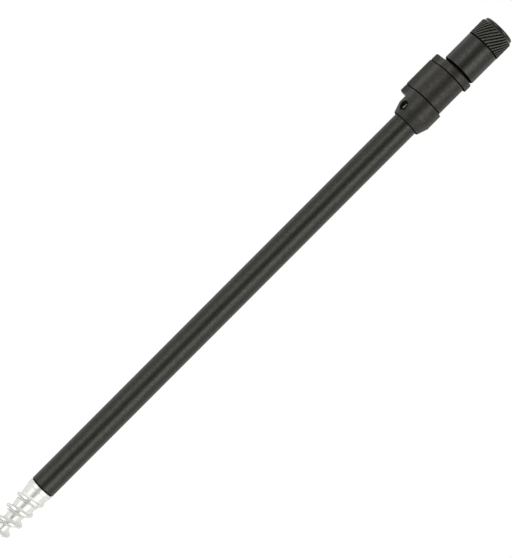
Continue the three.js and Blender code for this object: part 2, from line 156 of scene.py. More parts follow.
def prism(name, outline, low, high, edge=0.0, steps=3):
    """An outline carried up from low to high, its upper and lower edges rounded by edge."""
    o = np.asarray(outline, float)
    area = 0.5 * float(np.sum(o[:, 0] * np.roll(o[:, 1], -1) - o[:, 1] * np.roll(o[:, 0], -1)))
    if area < 0:
        o = o[::-1]
    t1 = o - np.roll(o, 1, axis=0)
    t2 = np.roll(o, -1, axis=0) - o
    t1 /= np.linalg.norm(t1, axis=1)[:, None]
    t2 /= np.linalg.norm(t2, axis=1)[:, None]
    n1 = np.stack([t1[:, 1], -t1[:, 0]], 1)
    n2 = np.stack([t2[:, 1], -t2[:, 0]], 1)
    m = n1 + n2
    m /= np.maximum(np.sum(m * n1, axis=1), 0.35)[:, None] * np.linalg.norm(m, axis=1)[:, None] / np.linalg.norm(m, axis=1)[:, None]
    rows = []
    if edge > 0:
        for q in range(steps + 1):
            a = math.pi / 2 * q / steps
            rows.append((edge * (1 - math.sin(a)), low + edge * (1 - math.cos(a))))
        for q in range(steps + 1):
            a = math.pi / 2 * q / steps
            rows.append((edge * (1 - math.cos(a)), high - edge * (1 - math.sin(a))))
    else:
        rows = [(0, low), (0, high)]
    n = len(o)
    verts, faces = [], []
    for inset, z in rows:
        ring = o - m * inset
        verts += [(x, y, z) for x, y in ring]
    for k in range(len(rows) - 1):
        for i in range(n):
            j = (i + 1) % n
            faces.append((k * n + i, k * n + j, (k + 1) * n + j, (k + 1) * n + i))
    faces.append(tuple(range(n - 1, -1, -1)))
    top = (len(rows) - 1) * n
    faces.append(tuple(range(top, top + n)))
    return make(name, verts, faces)


def arc(cx, cy, r, a0, a1, steps):
    return [(cx + r * math.cos(math.radians(a0 + (a1 - a0) * i / steps)), cy + r * math.sin(math.radians(a0 + (a1 - a0) * i / steps))) for i in range(steps + 1)]


def rod(name, r, start, direction, length, n=48, r2=None):
    """A round bar or cone from a point along a direction."""
    d = Vector(direction).normalized()
    q = d.to_track_quat("Z", "Y").to_matrix()
    th = np.arange(n) * 2 * math.pi / n
    rings = []
    for k, rr in ((0.0, r), (length, r if r2 is None else r2)):
        ring = [tuple(Vector(start) + q @ Vector((rr * math.cos(t), rr * math.sin(t), k))) for t in th]
        rings.append(ring)
    return skin(name, rings)


def boolean(ob, other, how="DIFFERENCE"):
    mod = ob.modifiers.new("cut", "BOOLEAN")
    mod.object = other
    mod.operation = how
    mod.solver = "EXACT"
    dg = bpy.context.evaluated_depsgraph_get()
    me = bpy.data.meshes.new_from_object(ob.evaluated_get(dg))
    ob.modifiers.clear()
    old = ob.data
    ob.data = me
    me.name = old.name
    bpy.data.meshes.remove(old)
    bpy.data.objects.remove(other)
    return ob


def bar_hole(angle, z):
    """Cutter for a turning bar's hole: slightly chamfered at the mouth, with a sloping ledge along one side of its floor."""
    cutter = lathe("cut", [(0.0, BAR_FLOOR), (BAR_R, BAR_FLOOR), (BAR_R, 11.62), (BAR_R + 0.12, 11.75), (BAR_R + 0.12, 14.0), (0.0, 14.0)], 72, False)
    cutter.data.transform(Matrix.Rotation(math.pi / 2, 4, "Y"))
    ledge = prism("ledge", [(7.3, -1.62), (BAR_FLOOR, -1.62), (7.74, -2.45), (7.95, -2.85), (8.4, -3.02), (8.4, -3.8), (7.3, -3.8)], LEDGE_LOW, LEDGE_HIGH)
    boolean(cutter, ledge)
    cutter.data.transform(Matrix.Translation((0, 0, BAR_Z + z)) @ Matrix.Rotation(math.radians(angle), 4, "Z"))
    return cutter


def shade(ob, angle=32.0):
    """Smooth faces with the corners over an angle kept crisp."""
    bm = bmesh.new()
    bm.from_mesh(ob.data)
    lim = math.radians(angle)
    for e in bm.edges:
        e.smooth = len(e.link_faces) == 2 and e.calc_face_angle(0.0) < lim
    for f in bm.faces:
        f.smooth = True
    bm.to_mesh(ob.data)
    bm.free()


def to_place(ob, z=0.0, turn=0.0):
    """From mm in a local frame to metres in the shared one."""
    ob.data.transform(Matrix.Rotation(math.radians(turn), 4, "Z"))
    ob.data.transform(Matrix.Translation((0, 0, z)))
    ob.data.transform(Matrix.Scale(0.001, 4))
    ob.data.update()


def piece(ob, body, node, material, z=0.0, turn=0.0, angle=32.0):
    to_place(ob, z, turn)
    shade(ob, angle)
    ob.data.materials.clear()
    ob.data.materials.append(material)
    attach(ob, body)
    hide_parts(node)
    return ob


# ------------------------------------------------------------------ materials


def base_material(name):
    m = bpy.data.materials.new(name)
    m.use_nodes = True
    nt = m.node_tree
    b = nt.nodes["Principled BSDF"]
    return m, nt, b


def node(nt, kind, **values):
    n = nt.nodes.new(kind)
    for k, v in values.items():
        setattr(n, k, v)
    return n


def turned_vector(nt, radial, axial):
    """Object coordinates as (distance from the axis, 0, height), each with its own scale per metre, so lines run round the part."""
    tc = node(nt, "ShaderNodeTexCoord")
    sep = node(nt, "ShaderNodeSeparateXYZ")
    nt.links.new(tc.outputs["Object"], sep.inputs[0])
    flat = node(nt, "ShaderNodeCombineXYZ")
    nt.links.new(sep.outputs[0], flat.inputs[0])
    nt.links.new(sep.outputs[1], flat.inputs[1])
    length = node(nt, "ShaderNodeVectorMath", operation="LENGTH")
    nt.links.new(flat.outputs[0], length.inputs[0])
    a = node(nt, "ShaderNodeMath", operation="MULTIPLY")
    a.inputs[1].default_value = radial
    nt.links.new(length.outputs["Value"], a.inputs[0])
    b = node(nt, "ShaderNodeMath", operation="MULTIPLY")
    b.inputs[1].default_value = axial
    nt.links.new(sep.outputs[2], b.inputs[0])
    out = node(nt, "ShaderNodeCombineXYZ")
    nt.links.new(a.outputs[0], out.inputs[0])
    nt.links.new(b.outputs[0], out.inputs[2])
    return out.outputs[0]


def stretched_vector(nt, sx, sy, sz):
    tc = node(nt, "ShaderNodeTexCoord")
    mp = node(nt, "ShaderNodeMapping")
    mp.inputs["Scale"].default_value = (sx, sy, sz)
    nt.links.new(tc.outputs["Object"], mp.inputs["Vector"])
    return mp.outputs["Vector"]


def noise(nt, vector, scale=1.0, detail=3.0, rough=0.55):
    n = node(nt, "ShaderNodeTexNoise")
    n.inputs["Scale"].default_value = scale
    n.inputs["Detail"].default_value = detail
    n.inputs["Roughness"].default_value = rough
    nt.links.new(vector, n.inputs["Vector"])
    return n.outputs["Fac"]


def ranged(nt, value, lo, hi, a=0.3, b=0.7):
    m = node(nt, "ShaderNodeMapRange")
    m.inputs["From Min"].default_value = a
    m.inputs["From Max"].default_value = b
    m.inputs["To Min"].default_value = lo
    m.inputs["To Max"].default_value = hi
    nt.links.new(value, m.inputs["Value"])
    return m.outputs["Result"]


def mixed(nt, fac, c0, c1):
    m = node(nt, "ShaderNodeMix", data_type="RGBA")
    m.inputs["A"].default_value = (*c0, 1)
    m.inputs["B"].default_value = (*c1, 1)
    nt.links.new(fac, m.inputs["Factor"])
    return m.outputs["Result"]


def bumped(nt, bsdf, height, distance, strength=1.0):
    b = node(nt, "ShaderNodeBump")
    b.inputs["Strength"].default_value = strength
    b.inputs["Distance"].default_value = distance
    nt.links.new(height, b.inputs["Height"])
    nt.links.new(b.outputs["Normal"], bsdf.inputs["Normal"])
    return b


def cut_mask(nt):
    """1 on the ledge at the foot of the two turning bar holes, where the metal is bare; 0 elsewhere."""
    tc = node(nt, "ShaderNodeTexCoord")
    q = math.radians(BAR_ANGLES[0])

    def along_axis(v, shift):
        d = node(nt, "ShaderNodeVectorMath", operation="DOT_PRODUCT")
        d.inputs[1].default_value = v
        nt.links.new(tc.outputs["Object"], d.inputs[0])
        m = node(nt, "ShaderNodeMath", operation="MULTIPLY_ADD")
        m.inputs[1].default_value = 1000.0
        m.inputs[2].default_value = shift
        nt.links.new(d.outputs["Value"], m.inputs[0])
        return m.outputs[0]

    def maths(how, a, b):
        m = node(nt, "ShaderNodeMath", operation=how)
        for k, x in enumerate((a, b)):
            if x is None:
                continue
            if isinstance(x, float):
                m.inputs[k].default_value = x
            else:
                nt.links.new(x, m.inputs[k])
        return m.outputs[0]

    deep = maths("ABSOLUTE", along_axis((math.cos(q), math.sin(q), 0), 0.0), None)
    side = along_axis((-math.sin(q), math.cos(q), 0), 0.0)
    high = along_axis((0, 0, 1), -(COLLAR_Z + BAR_Z))
    off = maths("SQRT", maths("ADD", maths("MULTIPLY", side, side), maths("MULTIPLY", high, high)), None)
    near = maths("MULTIPLY", maths("LESS_THAN", off, BAR_R + 0.1), maths("LESS_THAN", deep, 7.97))
    ledge = maths("LESS_THAN", maths("MULTIPLY", side, along_axis((math.cos(q), math.sin(q), 0), 0.0)), -12.3)
    return maths("MULTIPLY", maths("MULTIPLY", near, ledge), maths("GREATER_THAN", deep, BAR_FLOOR - 0.1))


def anodised(name, dark, light, rough, how, cut=False, valley=None, shade_bands=(), level=0.5, ior=1.5, tint=(1.0, 1.0, 0.97)):
    """Satin black anodised aluminium: a slightly warm grey-black with a fine, uneven grain.
    cut: bare at the foot of the turning bar holes. valley: (low, high) distance from the axis over which the grooves'
    shine is taken out as painted shade, the shine of the ridges, raised as a painted highlight, and the height above
    which no groove is shaded and all shine is raised. shade_bands: ranges of height in mm at the ends of parts and
    where they meet, painted with shade: deep black and without shine."""
    m, nt, b = base_material(name)
    b.inputs["Metallic"].default_value = 0.0
    b.inputs["IOR"].default_value = ior
    b.inputs["Specular Tint"].default_value = (*tint, 1)
    grain = noise(nt, stretched_vector(nt, 9000, 9000, 9000), 1.0, 2.0)
    cloud = noise(nt, stretched_vector(nt, 90, 90, 45), 1.0, 3.0)
    if how == "drawn":
        lines = noise(nt, stretched_vector(nt, 2600, 2600, 28), 1.0, 3.0, 0.6)
    else:
        lines = noise(nt, turned_vector(nt, 5200, 5200), 1.0, 3.0, 0.65)
    add = node(nt, "ShaderNodeMath", operation="ADD")
    half = node(nt, "ShaderNodeMath", operation="MULTIPLY")
    half.inputs[1].default_value = 0.6
    nt.links.new(lines, half.inputs[0])
    half2 = node(nt, "ShaderNodeMath", operation="MULTIPLY")
    half2.inputs[1].default_value = 0.4
    nt.links.new(cloud, half2.inputs[0])
    nt.links.new(half.outputs[0], add.inputs[0])
    nt.links.new(half2.outputs[0], add.inputs[1])
    both = add.outputs[0]
    colour = mixed(nt, ranged(nt, both, 0, 1, 0.35, 0.65), dark, light)
    if cut:
        mask = cut_mask(nt)
        m2 = node(nt, "ShaderNodeMix", data_type="RGBA")
        m2.inputs["B"].default_value = (0.29, 0.29, 0.276, 1)
        nt.links.new(mask, m2.inputs["Factor"])
        nt.links.new(colour, m2.inputs["A"])
        colour = m2.outputs["Result"]
        nt.links.new(mask, b.inputs["Metallic"])
    sep = node(nt, "ShaderNodeSeparateXYZ")
    nt.links.new(turned_vector(nt, 1000.0, 1000.0), sep.inputs[0])
    mottle = noise(nt, stretched_vector(nt, 1100, 1100, 800), 1.0, 2.0)
    shine = ranged(nt, mottle, level - 0.125, level + 0.125, 0.35, 0.65)
    # painted shade and highlight: the grooves lose their shine, the ridges gain extra shine, and above the given height
    # all shine is raised
    if valley:
        ridge = node(nt, "ShaderNodeMath", operation="MULTIPLY")
        nt.links.new(shine, ridge.inputs[0])
        shape = ranged(nt, sep.outputs[0], 0.0, 2 * valley[2], valley[0], valley[1])
        above = node(nt, "ShaderNodeMath", operation="GREATER_THAN")
        nt.links.new(sep.outputs[2], above.inputs[0])
        above.inputs[1].default_value = valley[3]
        top = node(nt, "ShaderNodeMath", operation="MULTIPLY_ADD")
        nt.links.new(above.outputs[0], top.inputs[0])
        top.inputs[1].default_value = 1.7
        nt.links.new(shape, top.inputs[2])
        least = node(nt, "ShaderNodeMath", operation="MINIMUM")
        nt.links.new(top.outputs[0], least.inputs[0])
        least.inputs[1].default_value = 1.7
        nt.links.new(least.outputs[0], ridge.inputs[1])
        shine = ridge.outputs[0]
    # bands of painted shade at the ends of parts and where they meet: deep black colour and no shine
    if shade_bands:
        off_shade = None  # 1 away from the bands of painted shade, 0 on them
        for lo, hi in shade_bands:
            away = node(nt, "ShaderNodeMath", operation="COMPARE")
            nt.links.new(sep.outputs[2], away.inputs[0])
            away.inputs[1].default_value = (lo + hi) / 2
            away.inputs[2].default_value = (hi - lo) / 2
            one = node(nt, "ShaderNodeMath", operation="SUBTRACT")
            one.inputs[0].default_value = 1.0
            nt.links.new(away.outputs[0], one.inputs[1])
            if off_shade is None:
                off_shade = one.outputs[0]
            else:
                both_of = node(nt, "ShaderNodeMath", operation="MULTIPLY")
                nt.links.new(off_shade, both_of.inputs[0])
                nt.links.new(one.outputs[0], both_of.inputs[1])
                off_shade = both_of.outputs[0]
        level = node(nt, "ShaderNodeMath", operation="MULTIPLY")
        nt.links.new(off_shade, level.inputs[0])
        nt.links.new(shine, level.inputs[1])
        shine = level.outputs[0]
        # near-black colour of the painted shade
        m3 = node(nt, "ShaderNodeMix", data_type="RGBA")
        m3.inputs["A"].default_value = (0.0035, 0.0034, 0.0030, 1)
        nt.links.new(off_shade, m3.inputs["Factor"])
        nt.links.new(colour, m3.inputs["B"])
        colour = m3.outputs["Result"]
    nt.links.new(shine, b.inputs["Specular IOR Level"])
    nt.links.new(colour, b.inputs["Base Color"])
    nt.links.new(ranged(nt, both, rough - 0.035, rough + 0.045, 0.35, 0.65), b.inputs["Roughness"])
    hadd = node(nt, "ShaderNodeMath", operation="ADD")
    nt.links.new(lines, hadd.inputs[0])
    nt.links.new(grain, hadd.inputs[1])
    bumped(nt, b, hadd.outputs[0], 0.000006, 0.55)
    return m


def crease_mask(nt):
    """Two masks that follow the point's thread: 1 on two fine lines of painted shade, below the crest and at the foot
    of its lower flank, and 1 on the upper flank, which the cutting tool left matt; 0 elsewhere."""
    tc = node(nt, "ShaderNodeTexCoord")
    sep = node(nt, "ShaderNodeSeparateXYZ")
    nt.links.new(tc.outputs["Object"], sep.inputs[0])

    def maths(how, a, b, c=None):
        m = node(nt, "ShaderNodeMath", operation=how)
        for k, x in enumerate((a, b, c)):
            if x is None:
                continue
            if isinstance(x, float):
                m.inputs[k].default_value = x
            else:
                nt.links.new(x, m.inputs[k])
        return m.outputs[0]

    turn = maths("MULTIPLY", maths("ARCTAN2", sep.outputs[1], sep.outputs[0]), -1 / (2 * math.pi))
    rise = maths("MULTIPLY_ADD", sep.outputs[2], 1000 / PITCH, -CREST_AT_LEFT / PITCH + 225 / 360)
    at = maths("FRACT", maths("ADD", turn, rise), None)
    lines = maths("ADD", maths("COMPARE", at, 1 - 0.98 / PITCH, 0.17 / PITCH), maths("COMPARE", at, 1 - 2.35 / PITCH, 0.15 / PITCH))
    threaded = maths("LESS_THAN", sep.outputs[2], -0.0068)
    return maths("MULTIPLY", lines, threaded), maths("MULTIPLY", maths("COMPARE", at, 1.45 / PITCH, 0.85 / PITCH), threaded)


def bare_metal(name, colour, rough, how="turned", bump=0.00001, metal=1.0, crease_shade=0.0):
    m, nt, b = base_material(name)
    b.inputs["Metallic"].default_value = metal
    vec = turned_vector(nt, 4200, 4200) if how == "turned" else stretched_vector(nt, 1800, 1800, 1800)
    lines = noise(nt, vec, 1.0, 4.0, 0.6)
    cloud = noise(nt, stretched_vector(nt, 160, 160, 160), 1.0, 3.0)
    tone = mixed(nt, ranged(nt, cloud, 0, 1), tuple(c * 0.93 for c in colour), colour)
    if crease_shade:
        # darker colour on the thread's two fine lines: painted shade
        m2 = node(nt, "ShaderNodeMix", data_type="RGBA")
        m2.inputs["B"].default_value = (*(c * crease_shade for c in colour), 1)
        shade_lines, matt = crease_mask(nt)
        nt.links.new(shade_lines, m2.inputs["Factor"])
        nt.links.new(tone, m2.inputs["A"])
        tone = m2.outputs["Result"]
        nt.links.new(ranged(nt, matt, metal, 0.12, 0.0, 1.0), b.inputs["Metallic"])
    nt.links.new(tone, b.inputs["Base Color"])
    nt.links.new(ranged(nt, lines, rough - 0.05, rough + 0.07), b.inputs["Roughness"])
    bumped(nt, b, lines, bump, 0.5)
    return m


def plastic(name, colour, rough, grain=2500, bump=0.00001):
    m, nt, b = base_material(name)
    b.inputs["Metallic"].default_value = 0.0
    g = noise(nt, stretched_vector(nt, grain, grain, grain), 1.0, 3.0)
    nt.links.new(mixed(nt, ranged(nt, g, 0, 1), tuple(c * 0.85 for c in colour), tuple(c * 1.12 for c in colour)), b.inputs["Base Color"])
    nt.links.new(ranged(nt, g, rough - 0.05, rough + 0.06), b.inputs["Roughness"])
    bumped(nt, b, g, bump, 0.6)
    return m


DARK, LIGHT = (0.0085, 0.0083, 0.0068), (0.0125, 0.0122, 0.0104)
mat_tube = anodised("anodised_tube", DARK, LIGHT, 0.29, "drawn", cut=True, shade_bands=[(-0.1, 0.72)], level=0.51, tint=(0.995, 1.0, 0.945))
mat_pole = anodised("anodised_pole", DARK, LIGHT, 0.29, "drawn", level=0.51, tint=(0.995, 1.0, 0.945))
mat_collar = anodised(
    "anodised_collar", DARK, LIGHT, 0.385, "turned", cut=True, shade_bands=[(COLLAR_Z - 0.1, COLLAR_Z + 0.34), (COLLAR_Z + 17.04, COLLAR_Z + 17.3), (COLLAR_Z + 37.6, COLLAR_Z + 37.84)], level=0.515, tint=(1.0, 0.98, 0.925))
mat_lever = anodised("anodised_lever", DARK, LIGHT, 0.385, "drawn", shade_bands=[(COLLAR_Z + 17.5, COLLAR_Z + 17.74), (COLLAR_Z + 37.14, COLLAR_Z + 37.4)], level=0.51, tint=(1.0, 0.98, 0.925))
mat_head = anodised("anodised_head", DARK, LIGHT, 0.29, "turned", shade_bands=[(HEAD_Z - 0.1, HEAD_Z + 0.45), (HEAD_Z + 19.95, HEAD_Z + 20.3)], tint=(0.995, 1.0, 0.985))
mat_ring = anodised("anodised_ring", DARK, LIGHT, 0.25, "turned", valley=(10.82, 11.12, 1.0, HEAD_Z + 31.3), shade_bands=[(HEAD_Z + 20.5, HEAD_Z + 20.95)], ior=1.58, tint=(1.0, 1.0, 0.95))
mat_auger = bare_metal("bare_aluminium", (0.95, 0.95, 0.94), 0.35, metal=0.86, crease_shade=0.38)
mat_ball = bare_metal("bearing_ball", (0.72, 0.72, 0.73), 0.12, "cast", 0.000002)
mat_spring = bare_metal("spring_steel", (0.32, 0.32, 0.33), 0.38)
mat_black_steel = bare_metal("black_oxide_screw", (0.085, 0.085, 0.088), 0.36)
mat_nylon = plastic("black_nylon", (0.014, 0.014, 0.014), 0.5)
mat_washer = plastic("nylon_washer", (0.005, 0.005, 0.005), 0.62)
mat_acetal = plastic("acetal_shoe", (0.02, 0.02, 0.02), 0.45)
mat_rubber = plastic("nitrile_ring", (0.010, 0.010, 0.010), 0.62)

# ------------------------------------------------------------------ auger point
CORE = [(-4, 7.5), (-10.6, 6.7), (-17.3, 5.9), (-21.4, 5.2), (-25.8, 4.3), (-29.8, 3.9), (-36.4, 3.2), (-45, 2.2), (-52, 1.35), (-58, 0.25)]
CREST = [(-3, 7.95), (-8, 8.1), (-25, 8.12), (-34.2, 6.85), (-45, 4.5), (-52, 2.5), (-57, 0.7), (-58, 0.25)]


def along(table, z):
    zs = [-a for a, _ in table]
    return np.interp(-z, zs, [b for _, b in table])


def auger(name):
    """Rows of the skin follow the thread's lead, so its crest and foot run along them; above and below they gather in a level ring."""
    n, per = 168, 46
    th = np.arange(n) * 2 * math.pi / n
    top = [(6.0, 15.0), (6.3, 14.9), (6.9, 14.2), (6.9, 0.05), (6.95, -0.15), (7.55, -0.16), (7.75, -0.25), (7.86, -0.45), (7.88, -0.6), (7.88, -2.3)]
    start, dz = -2.45, PITCH / per
    rows = int(math.ceil((start - TIP_Z + PITCH) / dz)) + 1
    verts = [(r * math.cos(a), r * math.sin(a), z) for r, z in top for a in th]
    at = {}
    for k in range(rows):
        z = np.clip(start + PITCH * th / (2 * math.pi) - k * dz, TIP_Z, start)
        core, crest = along(CORE, z), along(CREST, z)
        crest = np.maximum(core, crest)
        w = (z - CREST_AT_LEFT - PITCH * (np.degrees(th) - 225) / 360) / PITCH
        w = (w - np.round(w)) * PITCH
        low = np.clip((-z - 18) / 16, 0, 1)
        flat = 0.72 - 0.2 * low
        side = np.where(w > 0, 2.7 - 0.5 * low, 1.3 + 0.5 * low)
        r = crest - np.maximum(np.abs(w) - flat, 0) * side
        # soft foot where the flank runs into the core, soft shoulder on the crest
        r = 0.5 * (r + core + np.sqrt((r - core) ** 2 + 0.28 ** 2)) - 0.034
        r = 0.5 * (r + crest - np.sqrt((r - crest) ** 2 + 0.09 ** 2)) + 0.03
        f = np.clip((z + 3.4) / 0.95, 0, 1)
        r = np.minimum(r * (1 - f) + 7.86 * f, 8.1)
        r = np.where(z <= TIP_Z, 0.08, r)
        for i in range(n):
            at[k, i] = len(verts)
            verts.append((r[i] * math.cos(th[i]), r[i] * math.sin(th[i]), z[i]))
    m = len(top)
    faces = [(k * n + i, (k + 1) * n + i, (k + 1) * n + (i + 1) % n, k * n + (i + 1) % n) for k in range(m - 1) for i in range(n)]

    def nextcol(k, i):
        return at[k, i + 1] if i + 1 < n else at[max(k - per, 0), 0]

    for i in range(n):
        faces.append(((m - 1) * n + i, at[0, i], nextcol(0, i), (m - 1) * n + (i + 1) % n))
        for k in range(rows - 1):
            faces.append((at[k, i], at[k + 1, i], nextcol(k + 1, i), nextcol(k, i)))
    faces.append(tuple(range(n)))
    faces.append(tuple(at[rows - 1, i] for i in range(n)))
    return clean(make(name, verts, faces))


piece(auger("auger_point_thread"), "stick_base", "auger_point", mat_auger, angle=40)

# ------------------------------------------------------------------ outer tube
tube = lathe("outer_tube_shell", [(7.0, 0.0, 0.1), (7.5, 0.0), (8.0, 0.5), (8.0, 341.4, 0.25), (7.0, 341.4, 0.15)], 160, True, 18)
w = 2.6
cut = prism("cut", [(5, -w), (12, -w), (12, w), (5, w)], 322.1, 333.5)
cut.data.transform(Matrix.Rotation(math.radians(PIVOT_ANGLE), 4, "Z"))
boolean(tube, cut)
boolean(tube, rod("cut", 1.55, (5 * math.cos(g), 5 * math.sin(g), COLLAR_Z + 9), (math.cos(g), math.sin(g), 0), 6))
for a in BAR_ANGLES:
    boolean(tube, bar_hole(a, COLLAR_Z))
piece(tube, "stick_base", "outer_tube", mat_tube)

# ------------------------------------------------------------------ collar


def blend(R, r):
    """Radius of the hollow curve between a round body and the flat side of its lug, and the side's distance from the axis."""
    across = math.radians(LUG_FACE - LUG_JOIN)
    h = PIVOT_D * math.cos(math.radians(LUG_FACE)) + r
    return (R * math.cos(across) - h) / (1 - math.cos(across)), h


def side_points(R, r, steps):
    f, _ = blend(R, r)
    q = math.radians(LUG_JOIN)
    return arc((R + f) * math.cos(q), (R + f) * math.sin(q), f, LUG_FACE + 180, LUG_JOIN + 180, steps)


def lug_angles():
    out = list(np.linspace(math.radians(LUG_JOIN), 2 * math.pi - math.radians(LUG_JOIN), 110))
    for a in np.linspace(-math.radians(LUG_FACE), math.radians(LUG_FACE), 32):
        out.append(math.atan2(LOBE_R * math.sin(a), PIVOT_D + LOBE_R * math.cos(a)))
    for x, y in side_points(BODY_R, LOBE_R, 16):
        out += [math.atan2(y, x), -math.atan2(y, x)]
    out = np.array(out) % (2 * math.pi)
    return np.unique(np.round(np.sort(out), 5))


TH = lug_angles()


def lugged_r(inset):
    """Distance from the axis to the outline of body and lug, drawn in by inset, at each angle of TH."""
    R, r, D = BODY_R - inset, LOBE_R - inset, PIVOT_D
    f, h = blend(R, r)
    face, join = math.radians(LUG_FACE), math.radians(LUG_JOIN)
    th = np.abs((TH + math.pi) % (2 * math.pi) - math.pi)
    t1 = math.atan2(r * math.sin(face), D + r * math.cos(face))
    foot = np.array([(R + f) * math.cos(join) - f * math.cos(face), (R + f) * math.sin(join) - f * math.sin(face)])
    t2 = math.atan2(foot[1], foot[0])
    out = np.full(len(TH), R)
    k = th < join
    out[k] = (R + f) * np.cos(th[k] - join) - np.sqrt(np.maximum(f * f - ((R + f) * np.sin(th[k] - join)) ** 2, 0))
    k = th < t2
    out[k] = h / np.cos(face - th[k])
    k = th <= t1
    out[k] = D * np.cos(th[k]) + np.sqrt(np.maximum(r * r - (D * np.sin(th[k])) ** 2, 0))
    return out


def ring_at(r, z):
    r = np.broadcast_to(np.asarray(r, float), TH.shape)
    z = np.broadcast_to(np.asarray(z, float), TH.shape)
    return np.stack([r * np.cos(TH), r * np.sin(TH), z], 1)


def collar_body(name):
    nose = fillet([(8.06, 0.0), (9.0, 0.0), (9.47, 0.47, 0.1), (11.55, 6.75, 0.9), (11.55, 11.0)], False, 8)
    rings = [ring_at(r, z) for r, z in nose]
    lobe = lugged_r(0.0) - BODY_R  # how far the lobe stands out at each angle
    z0 = LOBE_BOTTOM
    rc = np.minimum(1.1, lobe * 0.75)
    rings.append(ring_at(BODY_R, z0 - 0.02))
    rings.append(ring_at(BODY_R + np.maximum(lobe - rc, 0) * 0.02, z0))
    rings.append(ring_at(BODY_R + np.maximum(lobe - rc, 0), z0))
    for q in range(1, 6):
        a = math.pi / 2 * q / 5
        rings.append(ring_at(BODY_R + lobe - rc + rc * math.sin(a), z0 + rc * (1 - math.cos(a))))
    rings.append(ring_at(BODY_R + lobe, 14.0))
    top = 17.2
    for q in range(0, 4):
        a = math.pi / 2 * q / 3
        e = 0.28
        rings.append(ring_at(lugged_r(e * (1 - math.cos(a))), top - e * (1 - math.sin(a))))
    rings.append(ring_at(8.06, top))
    return skin(name, rings, loop=True)


body = collar_body("collar_body_turned")
body.data.transform(Matrix.Rotation(math.radians(PIVOT_ANGLE), 4, "Z"))
for a in BAR_ANGLES:
    boolean(body, bar_hole(a, 0.0))
boolean(body, rod("cut", 2.0, (7 * math.cos(g), 7 * math.sin(g), 9.0), (math.cos(g), math.sin(g), 0), 8, 48))
boolean(body, rod("cut", 1.58, (pivot[0], pivot[1], 13.35), (0, 0, 1), 8, 40))
piece(body, "stick_base", "collar_body", mat_collar, z=COLLAR_Z, angle=28)


def upper_flange(name):
    low, high = 37.7, COLLAR_TOP
    rings = [ring_at(8.06, low)]
    for q in range(0, 4):
        a = math.pi / 2 * q / 3
        e = 0.28
        rings.append(ring_at(lugged_r(e * (1 - math.sin(a))), low + e * (1 - math.cos(a))))
    for q in range(0, 8):
        a = math.pi / 2 * q / 7
        e = 1.0
        rings.append(ring_at(lugged_r(e * (1 - math.cos(a))), high - e * (1 - math.sin(a))))
    rings.append(ring_at(7.3, high))
    rings.append(ring_at(6.75, high - 0.5))
    rings.append(ring_at(6.6, high - 0.7))
    rings.append(ring_at(6.6, 41.2))
    rings.append(ring_at(8.06, 41.2))
    return skin(name, rings, loop=True)


flange = upper_flange("upper_flange_turned")
flange.data.transform(Matrix.Rotation(math.radians(PIVOT_ANGLE), 4, "Z"))
boolean(flange, rod("cut", 1.58, (pivot[0], pivot[1], 36), (0, 0, 1), 10, 40))
boolean(flange, rod("cut", 2.12, (pivot[0], pivot[1], COLLAR_TOP - 1.75), (0, 0, 1), 5, 48))
piece(flange, "stick_base", "upper_flange", mat_collar, z=COLLAR_Z, angle=28)

# ------------------------------------------------------------------ cam lever, in the clamp's own frame
LEVER_R, LEVER_END_R, LEVER_END_FROM, HUB_R, LEVER_CLEAR, CAM_R, CAM_OFF, SHOE_HALF = 11.7, 9.35, 124.8, 3.6, 8.25, 3.75, 0.35, 2.4


def lever_outline():
    sweep = PIVOT_D + LEVER_CLEAR
    out = arc(PIVOT_D, 0, HUB_R, -100, LUG_FACE, 30)
    out += side_points(LEVER_R, HUB_R, 14)[1:-1]
    out += arc(0, 0, LEVER_R, LUG_JOIN, LEVER_END_FROM, 60)[:-1]
    inwards, q = LEVER_R - LEVER_END_R, math.radians(LEVER_END_FROM)
    out += arc(inwards * math.cos(q), inwards * math.sin(q), LEVER_END_R, LEVER_END_FROM, 207, 50)

    def at(theta):
        c = math.cos(math.radians(theta))
        r = PIVOT_D * c + math.sqrt(PIVOT_D ** 2 * c * c - PIVOT_D ** 2 + sweep ** 2)
        return (r * c, r * math.sin(math.radians(theta)))

    o, i = np.array(out[-1]), np.array(at(199))
    mid, half = (o + i) / 2, (o - i) / 2
    ln = float(np.linalg.norm(half))
    fwd = np.array([-half[1], half[0]]) / ln
    if fwd[0] * -o[1] + fwd[1] * o[0] < 0:
        fwd = -fwd
    for k in range(1, 10):
        a = math.pi * k / 10
        p = mid + half * math.cos(a) + fwd * ln * 0.9 * math.sin(a)
        out.append((float(p[0]), float(p[1])))
    for theta in np.linspace(199, 182, 12):
        out.append(at(theta))
    pocket = SHOE_HALF + 0.5
    a0 = math.degrees(math.asin(pocket / LEVER_CLEAR))
    out += arc(0, 0, LEVER_CLEAR, 180, a0, 90)
    out.append((PIVOT_D - CAM_OFF - CAM_R, pocket))
    out += arc(PIVOT_D - CAM_OFF, 0, CAM_R, 180, 252, 18)
    return out


lever = prism("cam_lever_milled", lever_outline(), 17.62, 37.28, 0.32, 4)
boolean(lever, rod("cut", 1.62, (PIVOT_D, 0, 10), (0, 0, 1), 40, 40))
piece(lever, "clamp_lever", "cam_lever", mat_lever, z=COLLAR_Z, turn=PIVOT_ANGLE, angle=30)

# ------------------------------------------------------------------ inner pole
pole = lathe("inner_pole_tube", [(5.15, 28.4, 0.15), (6.35, 28.4, 0.2), (6.35, 356.0, 0.2), (5.15, 356.0, 0.15)], 128, True, 18)
boolean(pole, rod("cut", 1.05, (4 * math.cos(g), 4 * math.sin(g), HEAD_Z + 6), (math.cos(g), math.sin(g), 0), 6, 32))
piece(pole, "inner_pole_and_head", "inner_pole", mat_pole)

